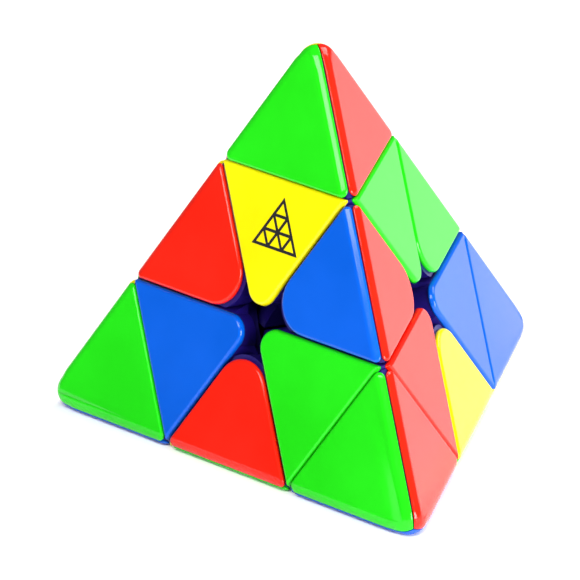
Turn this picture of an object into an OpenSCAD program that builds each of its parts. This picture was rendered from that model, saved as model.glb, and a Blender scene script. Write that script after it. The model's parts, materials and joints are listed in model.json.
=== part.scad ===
// Pyramid twisty puzzle. Four corner layers and four tips turn on one core,
// and six edge pieces are held under the skirts of the four axial pieces.
// The origin is the core's centre, where all the turning axes meet.
// +Z runs to the top corner and the front face looks towards -Y.

/* [Pyramid] */
// Edge of the pyramid before its edges and corners are rounded
edge_len = 106; // [104:0.5:110]
// Radius along the outer edges
outer_r = 2.4; // [2:0.1:2.6]
// Radius of the ball that rounds each corner of the pyramid
vertex_r = 4.4; // [4:0.1:4.8]
// Distance from a third of the way down to each tip cut
tip_shift = 2.2; // [1.6:0.1:2.4]
// Play across each layer cut
layer_gap = 0.5; // [0.4:0.05:0.6]
// Play across each tip cut
tip_gap = 0.2; // [0.2:0.05:0.3]

/* [Caps] */
// Thickness of the coloured caps
cap_t = 1.1; // [1:0.1:1.3]
// Thickness of the caps over the chamfered outer edges of the bodies
crest_t = 0.8; // [0.7:0.05:0.9]
// Seam between the two caps that meet along an outer edge
cap_seam = 0.3; // [0.2:0.05:0.4]
// Radius of the caps' corners that lie on the outer edges
corner_r = 1.3; // [0.8:0.1:1.6]
// Radius of an edge cap beside the hole in the middle of a face
edge_hole_r = 6.5; // [5.5:0.1:7]
// Radius of an axial cap beside the hole in the middle of a face
axial_hole_r = 3.6; // [3:0.1:4]
// Radius of the pegs under the caps
peg_r = 1.2; // [1:0.1:1.4]

/* [Mechanism] */
// Half angle of the axial skirts, seen from the core
skirt_angle = 44; // [43:0.5:45]
// Thickness of the axial skirts
skirt_t = 3; // [2.6:0.1:3.2]
// Thickness of the feet on the edge pieces
foot_t = 4.6; // [4:0.1:5]
// Thickness of the necks between the edge pieces and their feet
neck_t = 3.2; // [2.8:0.1:3.4]
// Width of those necks
neck_w = 9; // [7:0.5:9.5]
// Radius of the ball in the middle of the core
ball_r = 7.6; // [7:0.1:8]
// Radius of the core's arms
arm_r = 3.4; // [3.2:0.1:3.6]
// Radius of the screws' shanks
screw_r = 1.25; // [1.1:0.05:1.4]
// Turns in each tension spring
spring_turns = 5; // [4:1:6]

/* [Hidden] */
CORNERS = ["top", "left", "right", "back"];
// Each face is named after its side, and is opposite the corner with the same index
FACES = ["bottom", "right", "left", "front"];
PAIRS = [[0, 1], [0, 2], [0, 3], [1, 2], [2, 3], [1, 3]];
// The outer edges that meet at the model's corner 0, and the two of them beside face 1
CORNER_EDGES = [[0, 1], [0, 2], [0, 3]];
FACE_EDGES = [[0, 2], [0, 3]];
function corner_axes(angles) = concat([[0, 0, 1]],
    [for (a = angles) [sqrt(8) / 3 * cos(a), sqrt(8) / 3 * sin(a), -1 / 3]]);
AXES = corner_axes([210, 330, 90]);

// Every piece is drawn once, in a model frame with a corner on +Z and the next one over +X.
// A face again has the index of the corner opposite to it.
MODEL = corner_axes([0, 120, 240]);

// Colours of the scrambled caps: one row for each corner or pair, one column for each face
GREEN = "limegreen";
RED = "orangered";
BLUE = "dodgerblue";
YELLOW = "yellow";
NAVY = "midnightblue";
STEEL = "silver";
NONE = "";
TIP_COLOURS = [
    [NONE, RED, YELLOW, GREEN],
    [BLUE, NONE, YELLOW, GREEN],
    [BLUE, RED, NONE, GREEN],
    [YELLOW, BLUE, RED, NONE]
];
AXIAL_COLOURS = [
    [NONE, GREEN, RED, YELLOW],
    [YELLOW, NONE, GREEN, BLUE],
    [BLUE, RED, NONE, GREEN],
    [YELLOW, BLUE, RED, NONE]
];
EDGE_COLOURS = [
    [NONE, NONE, YELLOW, RED],
    [NONE, RED, NONE, BLUE],
    [NONE, GREEN, BLUE, NONE],
    [GREEN, NONE, NONE, RED],
    [GREEN, YELLOW, NONE, NONE],
    [YELLOW, NONE, BLUE, NONE]
];

big = 2 * edge_len;
height = edge_len * sqrt(2 / 3);
face_d = height / 4;
seat_d = face_d - cap_t;
layer_d = height / 12;
layer_low = layer_d - layer_gap / 2;
layer_high = layer_d + layer_gap / 2;
tip_d = 5 * height / 12 - tip_shift;
tip_low = tip_d - tip_gap / 2;
tip_high = tip_d + tip_gap / 2;

// Distances in the plane of a face, from the face's centre
slope = sqrt(8) / 3;
layer_side = layer_gap / 2 / slope;
tip_side = (tip_high - layer_d) / slope;
crest_drop = outer_r * (sqrt(3) - 1);
chamfer_d = sqrt(3) * face_d - crest_drop - crest_t;
crest_side = face_d * sqrt(2) - crest_drop * sqrt(2 / 3);
proud = 0.02;
point_r = 0.4;

// The ball of a corner touches the crests of the three outer edges, and lies on the corner's axis
crest_rise = 1 / sqrt(3);
ball_d = 3 * face_d - (crest_drop + vertex_r - proud) / crest_rise;
ball_top = ball_d + vertex_r * crest_rise;

// Spherical and conical surfaces of the mechanism, all centred on the core
axis_angle = acos(-1 / 3);
run = 0.4;
skirt_or = layer_d / cos(axis_angle - skirt_angle);
skirt_ir = skirt_or - skirt_t;
foot_or = skirt_ir - run;
foot_ir = foot_or - foot_t;
foot_in = 2.3;
foot_out = foot_in - run;
merge = 1;
neck_low = foot_or - merge;
neck_past = 1.4;
neck_top = skirt_or + neck_past;

// Heights along a corner axis, from the core's centre
arm_past = 1.8;
arm_top = skirt_ir + arm_past;
floor_low = arm_top + run;
floor_t = 2.4;
floor_top = floor_low + floor_t;
spring_h = 8.4;
washer_t = 0.6;
washer_low = floor_top + spring_h;
head_low = washer_low + washer_t;
head_h = 2.2;
head_r = 3;
screw_low = ball_r + merge;
claw_clear = 0.8;
claw_low = head_low + head_h + claw_clear;
hook_h = 1.3;
hook_play = 0.3;
lip_low = claw_low + hook_h + hook_play;
tip_cut = 8.5;
tip_body_top = 3 * face_d - tip_cut;
cutter_past = 1;

arm_clear_r = arm_r + 0.5;
screw_grip = 0.5;
screw_slack = 0.05;
screw_clear = 0.4;
well_r = 5.3;
washer_r = 4.3;
lip_r = 4.65;
hook_r = 5;
claw_r = 4.35;
claw_bore_r = 3.3;
slot_w = 1.2;
wall = 1.8;
rib = 2.4;
peg_l = 1.6;
peg_slack = 0.05;
peg_room = 0.3;
boss_wall = 1.4;
lip = 0.35;

$fn = 64;

function unit(v) = v / norm(v);
function others(skip) = [for (n = [0:3]) if (len(search(n, skip)) == 0) n];
function tip_name(i, part) = str("tip_", CORNERS[i], "_", part);
function axial_name(i, part) = str("axial_", CORNERS[i], "_", part);
function edge_name(p, part) = str("edge_", CORNERS[p[0]], "_", CORNERS[p[1]], "_", part);
function cap(f) = str("cap_", FACES[f]);

// Turns +Z to z_dir, and +X as near to x_dir as it can be
module facing(z_dir, x_dir) {
    z = unit(z_dir);
    x = unit(x_dir - (x_dir * z) * z);
    y = cross(z, x);
    multmatrix([[x[0], y[0], z[0], 0], [x[1], y[1], z[1], 0], [x[2], y[2], z[2], 0], [0, 0, 0, 1]])
        children();
}

// Turns the model frame so that its first two corners come to corners i and j
module at_corner(i, j) {
    facing(AXES[i], AXES[j]) children();
}

// Lies on the model's face f, with +X towards its corner n and z measured from the core's centre
module on_face(f, n) {
    facing(-MODEL[f], MODEL[n]) children();
}

// The half space whose distance along n is d or less
module below(n, d) {
    facing(n, cross(n, [3, 5, 8])) translate([-big / 2, -big / 2, d - big]) cube(big);
}

module above(n, d) {
    below(-n, -d);
}

// Everything within an angle of the axis of corner 0
module cone(angle) {
    start = 0.5;
    reach = edge_len / 4;
    translate([0, 0, start]) cylinder(r1 = start * tan(angle), r2 = reach * tan(angle), h = reach - start);
}

// The pyramid whose faces carry the caps
module seat() {
    intersection_for(f = [0:3]) below(-MODEL[f], seat_d);
}

// The space inside the chamfers along these outer edges
module chamfers(pairs) {
    intersection_for(p = pairs) below(MODEL[p[0]] + MODEL[p[1]], chamfer_d);
}

// The space of the cap on face f, outside the seat and the chamfers of these outer edges
module over_seat(f, pairs) {
    above(-MODEL[f], seat_d);
    for (p = pairs) above(MODEL[p[0]] + MODEL[p[1]], chamfer_d);
}

// The space inside the ball at corner 0, and all that lies below it
module round_corner() {
    translate([0, 0, ball_d]) sphere(vertex_r);
    below(MODEL[0], ball_top);
}

// A cap's outline, upright on its face and deep enough to reach the chamfers
module cap_prism(f, n) {
    depth = 1;
    on_face(f, n) translate([0, 0, seat_d - depth]) linear_extrude(cap_t + 2 * depth) children();
}

// The space inside the rounded edge between corners a and b
module rounded_edge(a, b) {
    centre = sqrt(3) * (face_d - outer_r);
    touch = [centre + outer_r / sqrt(3), outer_r * sqrt(2 / 3)];
    half = face_d * sqrt(3 / 2);
    facing(MODEL[a] - MODEL[b], MODEL[a] + MODEL[b]) linear_extrude(big, center = true) {
        polygon([[0, -half], [touch[0], -touch[1]], touch, [0, half]]);
        translate([centre, 0]) circle(outer_r);
    }
}

// An equilateral triangle that points along +X, with rounded corners.
// Its sides are at these distances from the origin.
module rounded_triangle(base_side, other_side, first_r, base_r) {
    inradius = (base_side + 2 * other_side) / 3;
    middle = 2 / 3 * (other_side - base_side);
    radii = [first_r, base_r, base_r];
    translate([middle, 0]) {
        polygon([for (k = [0:2]) for (turn = [-150, 150])
            2 * inradius * [cos(120 * k), sin(120 * k)]
                + sqrt(3) * radii[k] * [cos(120 * k + turn), sin(120 * k + turn)]]);
        for (k = [0:2])
            rotate(120 * k) translate([2 * inradius - 2 * radii[k], 0]) circle(radii[k]);
    }
}

// A wedge that opens along +X, with its point rounded at this distance from the origin
nose_half = 35;
module round_nose(centre, r) {
    touch = [centre - r * sin(nose_half), r * cos(nose_half)];
    far = touch + edge_len * [cos(nose_half), sin(nose_half)];
    polygon([[touch[0], -touch[1]], [far[0], -far[1]], far, touch]);
    translate([centre, 0]) circle(r);
}

// What rounding takes off a body's corner beside the hole in face f
module nose_trim(f, n, centre, r, turn) {
    touch = centre - r * sin(nose_half);
    on_face(f, n) rotate(turn) linear_extrude(face_d) difference() {
        translate([-edge_len / 4, -edge_len / 4]) square([edge_len / 4 + touch, edge_len / 2]);
        translate([centre, 0]) circle(r);
    }
}

module peg(f, n, x) {
    on_face(f, n) translate([x, 0, seat_d - peg_l]) cylinder(r = peg_r, h = peg_l + cap_t / 2);
}

module peg_hole(f, n, x) {
    depth = peg_l + peg_room;
    on_face(f, n) translate([x, 0, seat_d - depth]) cylinder(r = peg_r + peg_slack, h = depth + cutter_past);
}

// The column of plastic round a peg hole
module peg_boss(f, n, x) {
    on_face(f, n) translate([x, 0, 0]) cylinder(r = peg_r + boss_wall, h = face_d);
}

peg_inset = 8.5;
tip_peg_inset = 5;
tip_peg_x = tip_side + tip_peg_inset;
axial_peg_x = tip_side - peg_inset;
edge_peg_x = -crest_side + peg_inset;
axial_nose_x = 2 * (layer_side + axial_hole_r);
edge_nose_x = 2 * (layer_side + edge_hole_r);

// ---- Core, screws, washers and springs ----

module core() {
    color(NAVY) difference() {
        union() {
            sphere(ball_r);
            for (n = [0:3]) at_corner(n, (n + 1) % 4) cylinder(r = arm_r, h = arm_top);
        }
        for (n = [0:3]) at_corner(n, (n + 1) % 4)
            translate([0, 0, screw_low - screw_grip]) cylinder(r = screw_r + screw_slack, h = arm_top);
    }
}

module axle_screw() {
    recess_l = 3.4;
    recess_w = 0.8;
    recess_h = 1.2;
    difference() {
        union() {
            translate([0, 0, screw_low]) cylinder(r = screw_r, h = head_low - screw_low + screw_grip);
            translate([0, 0, head_low]) cylinder(r = head_r, h = head_h);
        }
        for (a = [0, 90]) rotate(a)
            translate([-recess_l / 2, -recess_w / 2, head_low + head_h - recess_h])
                cube([recess_l, recess_w, recess_h + cutter_past]);
    }
}

module axle_screws() {
    color(STEEL) for (n = [0:3]) at_corner(n, (n + 1) % 4) axle_screw();
}

module spring_washers() {
    color(STEEL) for (n = [0:3]) at_corner(n, (n + 1) % 4) translate([0, 0, washer_low]) difference() {
        cylinder(r = washer_r, h = washer_t);
        translate([0, 0, -cutter_past]) cylinder(r = screw_r + screw_clear, h = washer_t + 2 * cutter_past);
    }
}

// One coil, swept along a helix with hexagonal wire
module tension_spring() {
    wire = 0.4;
    radius = 3.4;
    sides = 6;
    steps = 12 * spring_turns;
    low = floor_top + wire;
    rise = spring_h - 2 * wire;
    points = [for (s = [0:steps]) for (k = [0:sides - 1])
        let (turn = 360 * spring_turns * s / steps,
            out = radius + wire * cos(360 * k / sides),
            up = wire * sin(360 * k / sides))
            [out * cos(turn), out * sin(turn), low + rise * s / steps + up]];
    walls = [for (s = [0:steps - 1]) for (k = [0:sides - 1])
        let (next = (k + 1) % sides, a = s * sides, b = (s + 1) * sides)
            [a + k, b + k, b + next, a + next]];
    first = [for (k = [0:sides - 1]) k];
    last = [for (k = [sides - 1:-1:0]) steps * sides + k];
    polyhedron(points, concat([first, last], walls), convexity = 10);
}

module tension_springs() {
    color(STEEL) for (n = [0:3]) at_corner(n, (n + 1) % 4) tension_spring();
}

// ---- Axial pieces, drawn at the model's corner 0 ----

// Hollow under the cap on face f
module axial_pocket(f) {
    sides = others([0, f]);
    difference() {
        intersection() {
            below(MODEL[0], tip_low - wall);
            above(MODEL[0], layer_high + wall);
            below(MODEL[sides[0]], layer_low - wall);
            below(MODEL[sides[1]], layer_low - wall);
            above(MODEL[sides[0]] - MODEL[f], rib / 2);
            above(MODEL[sides[1]] - MODEL[f], rib / 2);
            on_face(f, 0) translate([2 * layer_side + axial_hole_r + wall, -big / 2, 0])
                cube([big, big, seat_d + 1]);
        }
        sphere(skirt_or + wall);
        cylinder(r = well_r + wall, h = big);
        peg_boss(f, 0, axial_peg_x);
    }
}

module axial_body() {
    color(NAVY) difference() {
        intersection() {
            seat();
            chamfers(CORNER_EDGES);
            below(MODEL[0], tip_low);
            above(MODEL[0], layer_high);
            intersection_for(n = [1:3]) below(MODEL[n], layer_low);
        }
        for (f = [1:3]) nose_trim(f, 0, axial_nose_x, axial_hole_r + lip, 0);
        difference() {
            sphere(skirt_or);
            cone(skirt_angle);
        }
        sphere(skirt_ir);
        cylinder(r = arm_clear_r, h = floor_low);
        cylinder(r = screw_r + screw_clear, h = tip_d);
        translate([0, 0, floor_top]) cylinder(r = well_r, h = lip_low - floor_top);
        translate([0, 0, floor_top]) cylinder(r = lip_r, h = tip_d);
        for (f = [1:3]) axial_pocket(f);
        for (f = [1:3]) peg_hole(f, 0, axial_peg_x);
    }
}

// The cap on face 1
module axial_cap() {
    intersection() {
        cap_prism(1, 0) round_nose(axial_nose_x, axial_hole_r);
        over_seat(1, FACE_EDGES);
        below(MODEL[0], tip_low);
        intersection_for(n = [2, 3]) below(MODEL[n], layer_low);
        intersection_for(n = [2, 3]) above(MODEL[n] - MODEL[1], cap_seam / 2);
        intersection_for(n = [2, 3]) rounded_edge(0, n);
    }
    peg(1, 0, axial_peg_x);
}

// ---- Tips, drawn at the model's corner 0 ----

module tip_claw() {
    lead = 0.8;
    difference() {
        union() {
            translate([0, 0, claw_low]) cylinder(r = claw_r, h = tip_high + merge - claw_low);
            translate([0, 0, claw_low]) cylinder(r1 = claw_r, r2 = hook_r, h = lead);
            translate([0, 0, claw_low + lead]) cylinder(r = hook_r, h = hook_h - lead);
        }
        for (a = [0, 90]) rotate(a) translate([-big / 2, -slot_w / 2, claw_low - cutter_past])
            cube([big, slot_w, tip_low - claw_low + cutter_past]);
    }
}

module tip_body() {
    hollow_low = tip_high + 2;
    hollow_h = 12;
    hollow_r = [4.4, 1.2];
    color(NAVY) difference() {
        union() {
            intersection() {
                seat();
                chamfers(CORNER_EDGES);
                above(MODEL[0], tip_high);
                below(MODEL[0], tip_body_top);
            }
            tip_claw();
        }
        translate([0, 0, claw_low - cutter_past])
            cylinder(r = claw_bore_r, h = hollow_low - claw_low + 2 * cutter_past);
        translate([0, 0, hollow_low]) cylinder(r1 = hollow_r[0], r2 = hollow_r[1], h = hollow_h);
        for (f = [1:3]) peg_hole(f, 0, tip_peg_x);
    }
}

// The cap on face 1. Over the flat top of the body it fills its third of the corner.
module tip_cap() {
    intersection() {
        cap_prism(1, 0) rounded_triangle(proud - tip_side, crest_side + proud, point_r, corner_r);
        union() {
            over_seat(1, FACE_EDGES);
            above(MODEL[0], tip_body_top);
        }
        round_corner();
        above(MODEL[0], tip_high);
        intersection_for(n = [2, 3]) above(MODEL[n] - MODEL[1], cap_seam / 2);
        intersection_for(n = [2, 3]) rounded_edge(0, n);
    }
    peg(1, 0, tip_peg_x);
}

// ---- Edge pieces, drawn between the model's corners 0 and 1 ----

// A ball about the core's centre, with its poles and seam clear of the edge piece
module edge_ball(r) {
    facing(MODEL[2] - MODEL[3], MODEL[2] + MODEL[3]) sphere(r);
}

// Hollow under the cap on face f
module edge_pocket(f) {
    n = 5 - f;
    difference() {
        intersection() {
            above(MODEL[0], layer_high + wall);
            above(MODEL[1], layer_high + wall);
            above(MODEL[n] - MODEL[f], rib / 2);
            on_face(f, n) translate([-big - layer_side - edge_hole_r - wall, -big / 2, 0])
                cube([big, big, seat_d + 1]);
        }
        edge_ball(skirt_or + wall);
        peg_boss(f, n, edge_peg_x);
    }
}

// The foot lies inside the skirts of the two axial pieces beside it
module edge_foot() {
    difference() {
        intersection() {
            edge_ball(foot_or);
            above(MODEL[0], foot_in);
            above(MODEL[1], foot_in);
            below(MODEL[2], foot_out);
            below(MODEL[3], foot_out);
        }
        edge_ball(foot_ir);
    }
}

// The neck passes between the rims of those two skirts
module edge_neck() {
    facing(MODEL[0] + MODEL[1], MODEL[0] - MODEL[1])
        translate([-neck_t / 2, -neck_w / 2, neck_low]) cube([neck_t, neck_w, neck_top - neck_low]);
}

module edge_body() {
    color(NAVY) union() {
        difference() {
            intersection() {
                seat();
                chamfers([[0, 1]]);
                above(MODEL[0], layer_high);
                above(MODEL[1], layer_high);
            }
            edge_ball(skirt_or);
            for (f = [2, 3]) {
                nose_trim(f, 5 - f, edge_nose_x, edge_hole_r + lip, 180);
                edge_pocket(f);
                peg_hole(f, 5 - f, edge_peg_x);
            }
        }
        edge_neck();
        edge_foot();
    }
}

// The cap on face 2
module edge_cap() {
    intersection() {
        cap_prism(2, 3) rounded_triangle(crest_side + proud, proud - layer_side, edge_hole_r, corner_r);
        over_seat(2, [[0, 1]]);
        above(MODEL[0], layer_high);
        above(MODEL[1], layer_high);
        above(MODEL[3] - MODEL[2], cap_seam / 2);
        rounded_edge(0, 1);
    }
    peg(2, 3, edge_peg_x);
}

// The order of a pair that brings the model's face 2 to face f
function ordered(p, f) = cross(AXES[p[0]], AXES[p[1]]) * AXES[f] > 0 ? p : [p[1], p[0]];

core();
axle_screws();
spring_washers();
tension_springs();
for (i = [0:3]) {
    at_corner(i, (i + 1) % 4) axial_body();
    at_corner(i, (i + 1) % 4) tip_body();
    for (f = others([i])) {
        color(AXIAL_COLOURS[i][f]) at_corner(i, f) axial_cap();
        color(TIP_COLOURS[i][f]) at_corner(i, f) tip_cap();
    }
}
for (k = [0:5]) {
    at_corner(PAIRS[k][0], PAIRS[k][1]) edge_body();
    for (f = others(PAIRS[k]))
        color(EDGE_COLOURS[k][f]) at_corner(ordered(PAIRS[k], f)[0], ordered(PAIRS[k], f)[1]) edge_cap();
}
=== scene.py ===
import json
import math

import bmesh
import bpy
import numpy as np
from mathutils import Matrix, Vector


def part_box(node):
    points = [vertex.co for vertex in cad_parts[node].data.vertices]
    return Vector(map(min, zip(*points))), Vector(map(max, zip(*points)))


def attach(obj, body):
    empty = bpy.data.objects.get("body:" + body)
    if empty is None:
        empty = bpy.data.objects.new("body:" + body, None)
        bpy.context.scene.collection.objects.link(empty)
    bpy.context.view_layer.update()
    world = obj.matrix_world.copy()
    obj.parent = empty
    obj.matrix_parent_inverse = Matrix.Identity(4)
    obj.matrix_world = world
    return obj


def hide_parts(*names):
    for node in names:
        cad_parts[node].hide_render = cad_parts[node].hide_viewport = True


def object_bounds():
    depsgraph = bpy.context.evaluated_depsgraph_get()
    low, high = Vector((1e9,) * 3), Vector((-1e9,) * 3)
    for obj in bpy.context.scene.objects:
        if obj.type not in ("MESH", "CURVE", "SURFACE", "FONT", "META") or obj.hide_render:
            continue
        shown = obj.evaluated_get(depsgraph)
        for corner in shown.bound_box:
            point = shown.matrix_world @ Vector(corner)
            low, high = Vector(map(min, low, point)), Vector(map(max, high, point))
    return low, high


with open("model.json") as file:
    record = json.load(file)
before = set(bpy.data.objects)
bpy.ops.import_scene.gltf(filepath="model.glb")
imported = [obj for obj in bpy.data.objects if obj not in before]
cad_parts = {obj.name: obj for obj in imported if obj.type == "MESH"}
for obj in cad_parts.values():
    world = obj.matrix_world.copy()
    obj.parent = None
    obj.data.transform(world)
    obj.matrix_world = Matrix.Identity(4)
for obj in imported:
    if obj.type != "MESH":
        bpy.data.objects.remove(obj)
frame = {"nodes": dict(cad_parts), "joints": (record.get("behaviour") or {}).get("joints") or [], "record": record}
CAD_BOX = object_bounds()
MM = 0.001

# ---- The puzzle's layout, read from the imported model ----
#
# The core's centre is the origin. A crest is an outer edge of the pyramid, and a cut is a
# plane in which a layer or a tip turns.

AXIS = {}
for joint in frame["joints"]:
    if joint["name"].startswith("turn_layer_"):
        AXIS[joint["name"][len("turn_layer_"):]] = np.array(joint["axis"], float)
# The corner that each face lies opposite to
OPPOSITE = {"bottom": "top", "right": "left", "left": "right", "front": "back"}
SLOTS = {s["node"]: s["material_slot"] for s in frame["record"]["subparts"]}

# The parts of a corner's axis that lie in a face beside it and square to that face
IN_FACE = math.sqrt(8) / 3
OUT_OF_FACE = 1 / 3
# The plane midway between two faces: its angle from each, and how far it runs out along a
# face for each unit that it rises
MIDWAY = math.asin(1 / math.sqrt(3))
MIDWAY_RUN = math.sqrt(2)


def reach(node, direction):
    """How far a CAD node goes along a direction from the core's centre."""
    mesh = frame["nodes"][node].data
    points = np.empty(len(mesh.vertices) * 3)
    mesh.vertices.foreach_get("co", points)
    return float((points.reshape(-1, 3) @ np.array(direction)).max())


# Distances from the core's centre: to the faces, to the caps' seats, and along a corner's
# axis to the two sides of the layer cuts and of the tip cuts
FACE_D = -CAD_BOX[0][2]
SEAT_D = reach("edge_left_right_body", [0, 0, -1])
LAYER_HIGH = -reach("edge_top_left_cap_front", -AXIS["top"])
LAYER_LOW = reach("axial_left_cap_front", AXIS["top"])
TIP_LOW = reach("axial_top_cap_front", AXIS["top"])
TIP_HIGH = -reach("tip_top_cap_front", -AXIS["top"])

# ---- Sizes of the caps' rounding ----

# Crests, where the caps of two faces meet in a seam
CREST_R = 2.4 * MM
CREST_T = 0.8 * MM
SEAM = 0.3 * MM
SEAM_LIP_R = 0.2 * MM
# Sides along the cuts
LAYER_SIDE_R = 0.65 * MM
TIP_SIDE_R = 0.6 * MM
# The ball at each corner of the pyramid, and how softly it takes over from the crests
BALL_R = 4.4 * MM
BALL_BLEND = 0.5 * MM
BALL_FROM = 0.4
# Corners of the caps as seen on their face
TIP_POINT_R = 0.4 * MM
TIP_CORNER_R = 1.3 * MM
EDGE_CORNER_R = 1.0 * MM
EDGE_HOLE_R = 6.5 * MM
AXIAL_CORNER_R = 0.35 * MM
AXIAL_HOLE_R = 3.6 * MM
# The least share of a corner's radius that is left on the flat top, inside the rounded sides
LEAST_CORNER = 0.25
# A ring this far inside the flat top's outline keeps the top's shading flat
SUPPORT_INSET = 0.25 * MM

FILLET_STEPS = 11
LIP_STEPS = 3
ARC_STEPS = 16

# The axis of a crest's rounding: out from the face's centre, and up from the core's centre
CREST_OUT = MIDWAY_RUN * (FACE_D - CREST_R)
CREST_UP = FACE_D - CREST_R


def shares_of_side(step, count):
    """Where a ring has points along a straight side: near both ends, and in the middle."""
    near = [step * (k + 1) for k in range(count)]
    return (*near, 0.5, *(1 - share for share in reversed(near)))


FEW_SHARES = shares_of_side(0.25, 1)
MANY_SHARES = shares_of_side(0.02, 12)


def ease(share):
    """Turns an even rise from 0 to 1 into one that starts and ends softly."""
    return share * share * (3 - 2 * share)


def seam_out(height):
    """How far a cap may go out at a height, half a seam short of the plane midway."""
    return MIDWAY_RUN * height - SEAM * math.sqrt(0.75)


def cut_profile(limit, radius, sign):
    """The profile of a cap's side along a cut, from the flat top down to the seat.

    Each point is (distance from the face's centre, height). The cut lies at limit along its
    corner's axis. The sign is 1 for a cap on the centre's side of it, and -1 beyond it."""
    offset = sign * (limit - FACE_D * OUT_OF_FACE) / IN_FACE
    gradient = sign * OUT_OF_FACE / IN_FACE
    centre = offset + gradient * radius - radius * math.sqrt(1 + gradient ** 2)
    points = []
    for share in np.linspace(0, 1, FILLET_STEPS):
        angle = math.pi / 2 + share * (math.atan(gradient) - math.pi / 2)
        height = FACE_D + radius * (math.sin(angle) - 1)
        points.append((centre + radius * math.cos(angle), height))
    low = points[-1][1]
    for share in (0.5, 1.0):
        height = low + share * (SEAT_D - low)
        points.append((offset + gradient * (FACE_D - height), height))
    return points


def crest_profile():
    """The profile of a cap's side along a crest, with the same number of points."""
    axis = np.array([CREST_OUT, CREST_UP])
    out = np.array([math.cos(MIDWAY), math.sin(MIDWAY)])
    side = np.array([-math.sin(MIDWAY), math.cos(MIDWAY)])
    lip_aside = SEAM / 2 + SEAM_LIP_R
    lip_out = math.sqrt((CREST_R - SEAM_LIP_R) ** 2 - lip_aside ** 2)
    lip = axis + lip_out * out + lip_aside * side
    last = MIDWAY + math.atan2(lip_aside, lip_out)
    points = [axis + CREST_R * np.array([math.cos(a), math.sin(a)])
              for a in np.linspace(math.pi / 2, last, FILLET_STEPS - LIP_STEPS)]
    for a in np.linspace(last, MIDWAY - math.pi / 2, LIP_STEPS + 1)[1:]:
        points.append(lip + SEAM_LIP_R * np.array([math.cos(a), math.sin(a)]))
    low = points[-1][1]
    foot = CREST_UP + (CREST_R - CREST_T) * math.sin(MIDWAY)
    for share in (0.5, 1.0):
        height = low + share * (foot - low)
        points.append(np.array([seam_out(height), height]))
    return [(float(p[0]), float(p[1])) for p in points]


def rounded_ring(normals, distances, heights, radii, shares):
    """One ring of a cap: an equilateral triangle on the face, rounded at its corners.

    Corner k lies between side k and the next. Where those sides have different heights, the
    ring rises or falls along the corner."""
    ring = []
    for k in range(3):
        a, b = normals[k], normals[(k + 1) % 3]
        both = np.array([distances[k], distances[(k + 1) % 3]])
        corner = np.linalg.solve(np.array([a, b]), both)
        inward = -(a + b) / np.linalg.norm(a + b)
        centre = corner + 2 * radii[k] * inward  # for a corner of 60 degrees
        start = math.atan2(a[1], a[0])
        sweep = (math.atan2(b[1], b[0]) - start) % (2 * math.pi)
        for step in range(ARC_STEPS + 1):
            share = step / ARC_STEPS
            angle = start + share * sweep
            height = heights[k] + ease(share) * (heights[(k + 1) % 3] - heights[k])
            ring.append((centre[0] + radii[k] * math.cos(angle),
                         centre[1] + radii[k] * math.sin(angle), height))
    with_sides = []
    count = ARC_STEPS + 1
    for k in range(3):
        with_sides.extend(ring[k * count:(k + 1) * count])
        here = np.array(ring[(k + 1) * count - 1])
        there = np.array(ring[((k + 1) * count) % len(ring)])
        for share in shares:
            with_sides.append(tuple(here + (there - here) * share))
    return with_sides


def cap_rings(normals, profiles, radii, shares):
    """The rings of a cap, from a support ring on its flat top down to its seat."""
    outer = [max(p[0] for p in profile) for profile in profiles]
    rings = []
    for level in range(-1, len(profiles[0])):
        inset = SUPPORT_INSET if level < 0 else 0
        points = [profile[max(level, 0)] for profile in profiles]
        distances = [p[0] - inset for p in points]
        heights = [p[1] for p in points]
        drawn_in = [outer[k] - distances[k] for k in range(3)]
        ring_radii = []
        for k in range(3):
            mean = (drawn_in[k] + drawn_in[(k + 1) % 3]) / 2
            ring_radii.append(max(radii[k] - mean, LEAST_CORNER * radii[k]))
        rings.append(rounded_ring(normals, distances, heights, ring_radii, shares))
    return rings


def inside_crests(point, crest_normals):
    """Moves a point of an axial cap back to the rounded crests that it would pass."""
    x, y, z = point
    for normal in crest_normals:
        out = x * normal[0] + y * normal[1]
        new_out, new_z = min(out, seam_out(z)), z
        past_out, past_up = new_out - CREST_OUT, new_z - CREST_UP
        size = math.hypot(past_out, past_up)
        if past_out > 0 and past_up > 0 and size > CREST_R:
            new_out = CREST_OUT + past_out * CREST_R / size
            new_z = CREST_UP + past_up * CREST_R / size
        x += (new_out - out) * normal[0]
        y += (new_out - out) * normal[1]
        z = new_z
    return x, y, z


def inside_ball(point):
    """Moves a point of a tip cap back into the ball that rounds the pyramid's corner.

    The ball touches the rounded crests. It acts in full above the circle through the places
    where it touches them, and fades out below it."""
    axis = np.array([IN_FACE, 0, OUT_OF_FACE])
    sharp_corner = 3 * FACE_D
    crest_drop = CREST_R * (math.sqrt(3) - 1)
    centre = (sharp_corner - math.sqrt(3) * (crest_drop + BALL_R)) * axis
    out = np.array(point) - centre
    size = np.linalg.norm(out)
    start = BALL_R - BALL_BLEND
    rise = (out @ axis) / BALL_R * math.sqrt(3)
    share = min(1, max(0, (rise - BALL_FROM) / (1 - BALL_FROM)))
    if size < start or share == 0:
        return tuple(point)
    kept = start + BALL_BLEND * (1 - math.exp((start - size) / BALL_BLEND))
    return tuple(centre + out * (1 + ease(share) * (kept / size - 1)))


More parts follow.
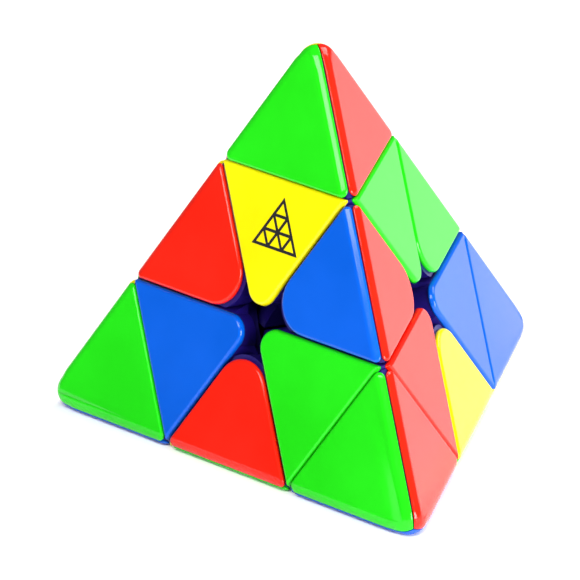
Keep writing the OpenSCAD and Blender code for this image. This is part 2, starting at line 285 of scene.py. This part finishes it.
def mesh_from_rings(name, rings, place):
    """A closed mesh from rings that all have the same number of points."""
    bm = bmesh.new()
    loops = [[bm.verts.new(place(p)) for p in ring] for ring in rings]
    count = len(loops[0])
    for upper, lower in zip(loops, loops[1:]):
        for k in range(count):
            after = (k + 1) % count
            bm.faces.new((upper[k], lower[k], lower[after], upper[after]))
    bm.faces.new(loops[0])
    bm.faces.new(list(reversed(loops[-1])))
    bmesh.ops.recalc_face_normals(bm, faces=bm.faces[:])
    for face in bm.faces:
        face.smooth = True
    mesh = bpy.data.meshes.new(name)
    bm.to_mesh(mesh)
    bm.free()
    return mesh


def add_piece(name, mesh, body, material):
    """Adds a piece that moves with a body and gives it one material."""
    piece = bpy.data.objects.new(name, mesh)
    bpy.context.scene.collection.objects.link(piece)
    mesh.materials.clear()
    mesh.materials.append(material)
    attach(piece, body)
    return piece


def tip_rings(towards):
    """A tip's cap: the tip's cut, and two crests that meet in the pyramid's corner."""
    profiles = [cut_profile(TIP_HIGH, TIP_SIDE_R, -1), crest_profile(), crest_profile()]
    radii = [TIP_CORNER_R, TIP_POINT_R, TIP_CORNER_R]
    rings = cap_rings([-t for t in towards], profiles, radii, MANY_SHARES)
    return [[inside_ball(p) for p in ring] for ring in rings]


def axial_rings(towards):
    """An axial piece's cap: the tip's cut, and two layer cuts that meet at the hole."""
    layer_cut = cut_profile(LAYER_LOW, LAYER_SIDE_R, 1)
    profiles = [cut_profile(TIP_LOW, TIP_SIDE_R, 1), layer_cut, layer_cut]
    radii = [AXIAL_CORNER_R, AXIAL_HOLE_R, AXIAL_CORNER_R]
    rings = cap_rings(towards, profiles, radii, FEW_SHARES)
    crest_normals = [-t for t in towards[1:]]
    return [[inside_crests(p, crest_normals) for p in ring] for ring in rings]


def edge_rings(towards):
    """An edge piece's cap: a crest, and two layer cuts that meet at the hole."""
    layer_cut = cut_profile(LAYER_HIGH, LAYER_SIDE_R, -1)
    profiles = [crest_profile(), layer_cut, layer_cut]
    radii = [EDGE_CORNER_R, EDGE_HOLE_R, EDGE_CORNER_R]
    return cap_rings([-t for t in towards], profiles, radii, FEW_SHARES)


RINGS = {"tip": tip_rings, "axial": axial_rings, "edge": edge_rings}


def make_cap(node):
    """The detailed cap that stands for one CAD cap.

    It is laid out on its face with +X towards its own corner, or away from its crest for an
    edge piece. Its rings are made from the directions of the face's three corners,
    counter-clockwise from +X."""
    owner, face = node.split("_cap_")
    kind, *corners = owner.split("_")
    opposite = OPPOSITE[face]
    normal = -AXIS[opposite]
    on_face = [c for c in AXIS if c != opposite]
    if kind == "edge":
        first = next(c for c in on_face if c not in corners)
    else:
        first = corners[0]
    along_x = AXIS[first] - normal * (AXIS[first] @ normal)
    along_x /= np.linalg.norm(along_x)
    along_y = np.cross(normal, along_x)
    flat = {c: np.array([AXIS[c] @ along_x, AXIS[c] @ along_y]) / IN_FACE for c in on_face}
    others = [c for c in on_face if c != first]
    order = [first] + sorted(others, key=lambda c: flat[c][1], reverse=True)
    rings = RINGS[kind]([flat[c] for c in order])

    def place(p):
        return Vector(p[0] * along_x + p[1] * along_y + p[2] * normal)

    mesh = mesh_from_rings("shell_" + node, rings, place)
    piece = add_piece("shell_" + node, mesh, owner, MATERIALS[SLOTS[node]])
    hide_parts(node)


# ---- Materials ----
#
# A scale of noise is its number of features in a metre.

BUMP_DEPTH = 0.02 * MM
FLOW_SCALE = 55
FLOW_DEEP = 0.93
FLOW_LIGHT = 1.03
FLOW_LIFT = 0.002
WEAR_SCALE = 180
PEEL_SCALE = 900
HAIRLINE_SCALE = 260
HAIRLINE_STRETCH = (1, 14, 3)
HAIRLINE_TURN = (0.4, 0.2, 0.7)
HAIRLINE_HEIGHT = 0.15  # beside the orange peel's 1
PLASTIC_IOR = 1.4
STAIN_SCALE = 300
STAIN_DARK = 0.8
TURNING_BUMP = 0.25


def new_material(name):
    """A material with its nodes, their links and its main shader."""
    material = bpy.data.materials.new(name)
    material.use_nodes = True
    nodes = material.node_tree.nodes
    return material, nodes, material.node_tree.links, nodes["Principled BSDF"]


def noise(nodes, links, coordinates, scale, detail, roughness=0.5):
    """Soft noise about 0.5."""
    texture = nodes.new("ShaderNodeTexNoise")
    texture.inputs["Scale"].default_value = scale
    texture.inputs["Detail"].default_value = detail
    texture.inputs["Roughness"].default_value = roughness
    links.new(coordinates, texture.inputs["Vector"])
    return texture.outputs["Fac"]


def ramp(nodes, links, value, low, high, at_low=0.0, at_high=1.0):
    """A value stretched so that low to high becomes at_low to at_high, and held at both."""
    node = nodes.new("ShaderNodeMapRange")
    node.inputs["From Min"].default_value = low
    node.inputs["From Max"].default_value = high
    node.inputs["To Min"].default_value = at_low
    node.inputs["To Max"].default_value = at_high
    links.new(value, node.inputs["Value"])
    return node.outputs["Result"]


def tint(nodes, links, factor, first, second):
    """A colour between two colours."""
    mix = nodes.new("ShaderNodeMix")
    mix.data_type = "RGBA"
    mix.inputs["A"].default_value = (*first, 1)
    mix.inputs["B"].default_value = (*second, 1)
    links.new(factor, mix.inputs["Factor"])
    return mix.outputs["Result"]


def add_bump(nodes, links, shader, height, strength):
    """Raises the shader's surface by a height that varies."""
    bump = nodes.new("ShaderNodeBump")
    bump.inputs["Strength"].default_value = strength
    bump.inputs["Distance"].default_value = BUMP_DEPTH
    links.new(height, bump.inputs["Height"])
    links.new(bump.outputs["Normal"], shader.inputs["Normal"])


def hairlines(nodes, links, place):
    """A few long thin scratches, from stretched noise of which only the peaks are kept."""
    stretch = nodes.new("ShaderNodeMapping")
    stretch.inputs["Scale"].default_value = HAIRLINE_STRETCH
    stretch.inputs["Rotation"].default_value = HAIRLINE_TURN
    links.new(place, stretch.inputs["Vector"])
    scratch = noise(nodes, links, stretch.outputs["Vector"], HAIRLINE_SCALE, detail=2)
    return ramp(nodes, links, scratch, low=0.66, high=0.74)


def moulded_plastic(name, colour, rough, grain):
    """Coloured plastic: flow marks in its colour, uneven gloss, orange peel and hairlines."""
    material, nodes, links, shader = new_material(name)
    place = nodes.new("ShaderNodeTexCoord").outputs["Object"]
    marks = noise(nodes, links, place, FLOW_SCALE, detail=3)
    flow = ramp(nodes, links, marks, low=0.35, high=0.65)
    deep = tuple(c * FLOW_DEEP for c in colour)
    light = tuple(min(1, c * FLOW_LIGHT + FLOW_LIFT) for c in colour)
    links.new(tint(nodes, links, flow, deep, light), shader.inputs["Base Color"])
    wear = noise(nodes, links, place, WEAR_SCALE, detail=6, roughness=0.6)
    uneven = ramp(nodes, links, wear, 0.3, 0.7, at_low=rough - 0.03, at_high=rough + 0.04)
    links.new(uneven, shader.inputs["Roughness"])
    surface = nodes.new("ShaderNodeMath")
    surface.operation = "MULTIPLY_ADD"
    surface.inputs[1].default_value = HAIRLINE_HEIGHT
    links.new(hairlines(nodes, links, place), surface.inputs[0])
    links.new(noise(nodes, links, place, PEEL_SCALE, detail=2), surface.inputs[2])
    add_bump(nodes, links, shader, surface.outputs["Value"], grain)
    shader.inputs["IOR"].default_value = PLASTIC_IOR
    return material


def steel(name, colour, rough, turning_scale):
    """Bright steel with fine turning marks and faint stains."""
    material, nodes, links, shader = new_material(name)
    place = nodes.new("ShaderNodeTexCoord").outputs["Object"]
    spots = noise(nodes, links, place, STAIN_SCALE, detail=4)
    stain = ramp(nodes, links, spots, low=0.35, high=0.7)
    dark = tuple(c * STAIN_DARK for c in colour)
    links.new(tint(nodes, links, stain, dark, colour), shader.inputs["Base Color"])
    marks = noise(nodes, links, place, turning_scale, detail=3, roughness=0.7)
    uneven = ramp(nodes, links, marks, 0.3, 0.7, at_low=rough - 0.08, at_high=rough + 0.1)
    links.new(uneven, shader.inputs["Roughness"])
    add_bump(nodes, links, shader, marks, TURNING_BUMP)
    shader.inputs["Metallic"].default_value = 1
    return material


CAP_ROUGH = 0.1
CAP_GRAIN = 0.05
INNER_GRAIN = 0.2

MATERIALS = {
    "cap_green": moulded_plastic("green_abs", (0.010, 0.54, 0.004), CAP_ROUGH, CAP_GRAIN),
    "cap_red": moulded_plastic("red_abs", (0.70, 0.010, 0.002), CAP_ROUGH, CAP_GRAIN),
    "cap_blue": moulded_plastic("blue_abs", (0.0, 0.082, 0.52), CAP_ROUGH, CAP_GRAIN),
    "cap_yellow": moulded_plastic("yellow_abs", (0.72, 0.62, 0.0), CAP_ROUGH, CAP_GRAIN),
    "body_navy": moulded_plastic("navy_abs", (0.008, 0.003, 0.11), 0.34, INNER_GRAIN),
    "core_plastic": moulded_plastic("core_abs", (0.006, 0.003, 0.08), 0.4, INNER_GRAIN),
    "screw_steel": steel("zinc_plated_steel", (0.66, 0.66, 0.68), 0.3, 1500),
    "washer_steel": steel("bright_steel", (0.72, 0.72, 0.74), 0.25, 2200),
    "spring_steel": steel("spring_wire", (0.55, 0.55, 0.57), 0.3, 1800),
}

# ---- The bodies and the inner parts ----

BODY_EDGE = 0.22 * MM
BODY_EDGE_ANGLE = math.radians(35)  # edges that turn more than this are softened


def finish_cad_nodes():
    """Gives the CAD nodes that stay in view their materials and softened edges."""
    for name, obj in frame["nodes"].items():
        if "_cap_" in name:
            continue
        obj.data.materials.clear()
        obj.data.materials.append(MATERIALS[SLOTS[name]])
        if name.endswith("_body"):
            bevel = obj.modifiers.new("softened_edges", "BEVEL")
            bevel.width = BODY_EDGE
            bevel.segments = 2
            bevel.limit_method = "ANGLE"
            bevel.angle_limit = BODY_EDGE_ANGLE
            bevel.harden_normals = True


# ---- The printed pictogram ----

MARK_SIDE = 11 * MM
MARK_LINE = 0.62 * MM
MARK_T = 0.03 * MM
# From the middle of the cap, towards +X and up
MARK_ASIDE = 1.5 * MM
MARK_RAISED = 2.2 * MM
MARK_ROWS = 3
INK_ROUGH = 0.5
INK_GRAIN = 0.15


def triangle(centre, radius, up):
    """The corners of an equilateral triangle that points up or down."""
    turn = math.pi / 2 if up else -math.pi / 2
    return [(centre[0] + radius * math.cos(turn + k * 2 * math.pi / 3),
             centre[1] + radius * math.sin(turn + k * 2 * math.pi / 3)) for k in range(3)]


def mark_outlines():
    """The outline of a triangle and of the nine small triangles it is divided into."""
    cell = MARK_SIDE / MARK_ROWS
    row_height = cell * math.sqrt(3) / 2
    inner = cell / math.sqrt(3) - MARK_LINE
    outer = MARK_SIDE / math.sqrt(3) + MARK_LINE
    loops = [triangle((0, 0), outer, True)]
    for row in range(MARK_ROWS):
        base = (row - MARK_ROWS / 3) * row_height
        last = MARK_ROWS - 1 - row
        for k in range(last + 1):
            loops.append(triangle(((k - last / 2) * cell, base + row_height / 3), inner, True))
        for k in range(last):
            x = (k - (last - 1) / 2) * cell
            loops.append(triangle((x, base + row_height * 2 / 3), inner, False))
    return loops


def make_mark():
    """A pictogram of the puzzle's own triangles, printed on the top axial piece's front cap."""
    normal = -AXIS["back"]
    right = np.array([1.0, 0, 0])
    up = np.cross(normal, right)
    low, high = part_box("axial_top_cap_front")
    centre_z = (low.z + high.z) / 2 + MARK_RAISED
    foot = normal * FACE_D
    origin = foot + up * ((centre_z - foot[2]) / up[2]) + right * MARK_ASIDE
    below = origin - 0.5 * MARK_T * normal
    bm = bmesh.new()
    for loop in mark_outlines():
        verts = [bm.verts.new(Vector(below + x * right + y * up)) for x, y in loop]
        for k in range(3):
            bm.edges.new((verts[k], verts[(k + 1) % 3]))
    bmesh.ops.triangle_fill(bm, use_beauty=True, edges=bm.edges[:], normal=Vector(normal))
    made = bmesh.ops.extrude_face_region(bm, geom=bm.faces[:])
    lifted = [g for g in made["geom"] if isinstance(g, bmesh.types.BMVert)]
    bmesh.ops.translate(bm, verts=lifted, vec=Vector(normal) * MARK_T)
    bmesh.ops.recalc_face_normals(bm, faces=bm.faces[:])
    mesh = bpy.data.meshes.new("printed_pictogram")
    bm.to_mesh(mesh)
    bm.free()
    ink = moulded_plastic("printing_ink", (0.003, 0.003, 0.004), INK_ROUGH, INK_GRAIN)
    add_piece("printed_pictogram", mesh, "axial_top", ink)


# ---- Floor, lights and camera ----

FLOOR_HALF = 6.0
FLOOR_SCALE = 3
FLOOR_TONES = ((0.93, 0.93, 0.93), (0.96, 0.96, 0.96))


def make_floor():
    """A large pale sheet under the puzzle."""
    mesh = bpy.data.meshes.new("floor")
    z = CAD_BOX[0][2]
    corners = [(x * FLOOR_HALF, y * FLOOR_HALF, z) for x, y in ((-1, -1), (1, -1), (1, 1), (-1, 1))]
    mesh.from_pydata(corners, [], [(0, 1, 2, 3)])
    floor = bpy.data.objects.new("floor", mesh)
    bpy.context.scene.collection.objects.link(floor)
    material, nodes, links, shader = new_material("pale_floor")
    place = nodes.new("ShaderNodeTexCoord").outputs["Object"]
    soft = noise(nodes, links, place, FLOOR_SCALE, detail=2)
    links.new(tint(nodes, links, soft, *FLOOR_TONES), shader.inputs["Base Color"])
    shader.inputs["Roughness"].default_value = 0.6
    shader.inputs["Specular IOR Level"].default_value = 0.2
    mesh.materials.append(material)


def area_light(name, position, width, height, power, turn=None):
    """A soft box. It faces the core's centre unless it is turned another way."""
    data = bpy.data.lights.new(name, "AREA")
    data.shape = "RECTANGLE"
    data.size = width
    data.size_y = height
    data.energy = power
    light = bpy.data.objects.new(name, data)
    light.location = position
    light.rotation_euler = (turn or (-Vector(position)).to_track_quat("-Z", "Y")).to_euler()
    bpy.context.scene.collection.objects.link(light)


KEY_TOWARDS = Vector((0.253, -0.732, 0.632)).normalized()
KEY_DISTANCE = 1.0
KEY_WIDTH = 0.72
KEY_HEIGHT = 0.42
KEY_LOW = 0.01  # how far its lower side is above the line to the core's centre
KEY_POWER = 10.2
AMBIENT = 0.16


def make_key():
    """A soft box whose lower side lies square across the crest between the front and right
    faces, so only the top tip's crest mirrors it."""
    crest_up = Vector(AXIS["top"] - AXIS["right"])
    up = (crest_up - KEY_TOWARDS * crest_up.dot(KEY_TOWARDS)).normalized()
    turn = Matrix((up.cross(KEY_TOWARDS), up, KEY_TOWARDS)).transposed()
    position = KEY_TOWARDS * KEY_DISTANCE + up * (KEY_LOW + KEY_HEIGHT / 2)
    area_light("key", position, KEY_WIDTH, KEY_HEIGHT, KEY_POWER, turn)


def make_lights():
    """The key, a large light that washes out the right face, and one from behind."""
    world = bpy.data.worlds.new("studio")
    bpy.context.scene.world = world
    world.use_nodes = True
    background = world.node_tree.nodes["Background"]
    background.inputs["Color"].default_value = (1, 1, 1, 1)
    background.inputs["Strength"].default_value = AMBIENT
    make_key()
    area_light("fill_right", (1.4, -0.25, 0.3), width=0.9, height=0.7, power=36)
    area_light("behind", (0.25, 0.95, 1.2), width=1.2, height=0.9, power=22)


CAMERA_AZIMUTH = math.radians(-44.5)
CAMERA_ELEVATION = math.radians(23.82)
CAMERA_ROLL = math.radians(-2.09)
CAMERA_DISTANCE = 1.285
CAMERA_FOV = math.radians(5.05787)
# Where it aims, to the right of and above the core's centre as it sees them
AIM_RIGHT = -6.968 * MM
AIM_UP = 6.688 * MM
CAMERA_FAR = 20


def make_camera():
    """A long lens, turned and rolled as the seams in the photo show it."""
    look = Vector((math.sin(CAMERA_AZIMUTH) * math.cos(CAMERA_ELEVATION),
                   math.cos(CAMERA_AZIMUTH) * math.cos(CAMERA_ELEVATION),
                   -math.sin(CAMERA_ELEVATION)))
    right = Vector((math.cos(CAMERA_AZIMUTH), -math.sin(CAMERA_AZIMUTH), 0))
    up = right.cross(look)
    target = right * AIM_RIGHT + up * AIM_UP
    rolled_right = right * math.cos(CAMERA_ROLL) + up * math.sin(CAMERA_ROLL)
    rolled_up = up * math.cos(CAMERA_ROLL) - right * math.sin(CAMERA_ROLL)
    data = bpy.data.cameras.new("camera")
    data.angle = CAMERA_FOV
    data.clip_end = CAMERA_FAR
    camera = bpy.data.objects.new("camera", data)
    turn = Matrix((rolled_right, rolled_up, -look)).transposed()
    camera.matrix_world = Matrix.Translation(target - look * CAMERA_DISTANCE) @ turn.to_4x4()
    bpy.context.scene.collection.objects.link(camera)
    bpy.context.scene.camera = camera


bpy.context.scene.view_settings.view_transform = "Standard"
finish_cad_nodes()
for node_name in frame["nodes"]:
    if "_cap_" in node_name:
        make_cap(node_name)
make_mark()
make_floor()
make_lights()
make_camera()
